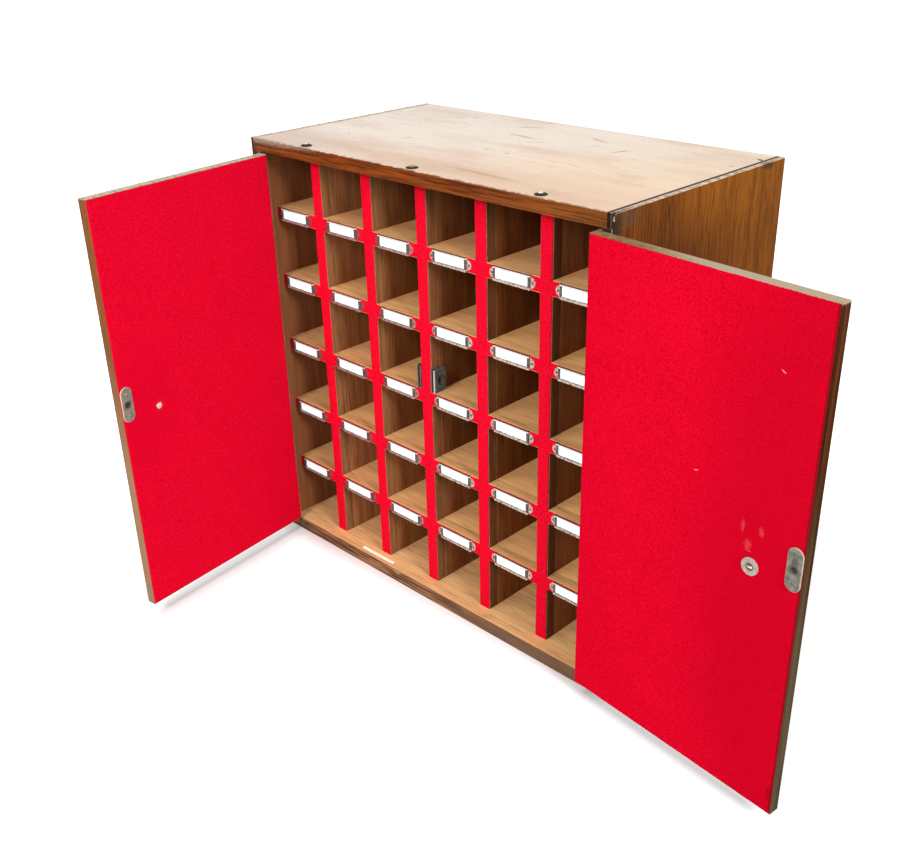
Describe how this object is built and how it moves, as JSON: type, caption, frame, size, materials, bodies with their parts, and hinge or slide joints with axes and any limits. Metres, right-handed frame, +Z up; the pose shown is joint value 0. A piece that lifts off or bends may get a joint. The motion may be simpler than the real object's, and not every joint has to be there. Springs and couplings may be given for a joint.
{
  "type": "pigeonhole mail sorter",
  "caption": "Wooden pigeonhole mail sorter with a square grid of open compartments, a card holder under each, and two hinged felt-lined doors with magnetic catches.",
  "frame": {"origin": "middle of the case's underside", "axes": "+Z up, +Y from the open front to the back, +X to the right seen from the front"},
  "size_m": [1.0364, 0.7286, 0.7136],
  "materials": {
    "oak_case": "worn satin varnish",
    "oak_grid": "dark satin varnish",
    "oak_shelf": "worn satin varnish",
    "oak_lipping": "satin varnish",
    "oak_door": "worn satin varnish",
    "back_ply": "plain",
    "red_felt": "matt felt",
    "holder_metal": "aged, dull",
    "card": "matt",
    "strip_paper": "matt",
    "catch_steel": "dull",
    "catch_magnet": "matt",
    "plate_steel": "aged, dull",
    "screw_brass": "worn",
    "cup_nickel": "worn nickel",
    "hinge_brass": "aged",
    "knob_wood": "satin varnish"
  },
  "bodies": {
    "cabinet": {"back_panel": "back_ply", "bottom_board": "oak_case", "catch_magnets": "catch_magnet", "catch_pole_plates": "catch_steel", "catch_screws": "plate_steel", "divider_1": "oak_grid", "divider_2": "oak_grid", "divider_3": "oak_grid", "divider_4": "oak_grid", "divider_5": "oak_grid", "divider_felts": "red_felt", "divider_lippings": "oak_lipping", "hinge_left_case_leaf": "hinge_brass", "hinge_left_pin": "hinge_brass", "hinge_right_case_leaf": "hinge_brass", "hinge_right_pin": "hinge_brass", "label_cards_row_1": "card", "label_cards_row_2": "card", "label_cards_row_3": "card", "label_cards_row_4": "card", "label_cards_row_5": "card", "label_holders_row_1": "holder_metal", "label_holders_row_2": "holder_metal", "label_holders_row_3": "holder_metal", "label_holders_row_4": "holder_metal", "label_holders_row_5": "holder_metal", "paper_strip": "strip_paper", "shelf_1": "oak_shelf", "shelf_2": "oak_shelf", "shelf_3": "oak_shelf", "shelf_4": "oak_shelf", "shelf_5": "oak_shelf", "shelf_felts": "red_felt", "shelf_lippings": "oak_lipping", "side_left": "oak_case", "side_right": "oak_case", "top_board": "oak_case", "top_cup_washers": "cup_nickel", "top_screws": "cup_nickel"},
    "door_left": {"door_left_panel": "oak_door", "door_left_lippings": "oak_lipping", "door_left_felt": "red_felt", "hinge_left_door_leaf": "hinge_brass", "strike_plate_left": "plate_steel", "strike_screw_left": "plate_steel", "knob_left": "knob_wood", "knob_screw_left": "screw_brass"},
    "door_right": {"door_right_panel": "oak_door", "door_right_lippings": "oak_lipping", "door_right_felt": "red_felt", "hinge_right_door_leaf": "hinge_brass", "strike_plate_right": "plate_steel", "strike_screw_right": "plate_steel", "knob_right": "knob_wood", "knob_screw_right": "screw_brass", "knob_washer_right": "plate_steel"}
  },
  "joints": [
    {"name": "door_left_hinge", "type": "hinge", "parent": "cabinet", "child": "door_left", "pos_m": [-0.3398, -0.1979, 0.356], "axis": [0, 0, -1], "range_deg": [-82.7, 97.3]},
    {"name": "door_right_hinge", "type": "hinge", "parent": "cabinet", "child": "door_right", "pos_m": [0.3398, -0.1979, 0.356], "axis": [0, 0, 1], "range_deg": [-174, 6]}
  ]
}
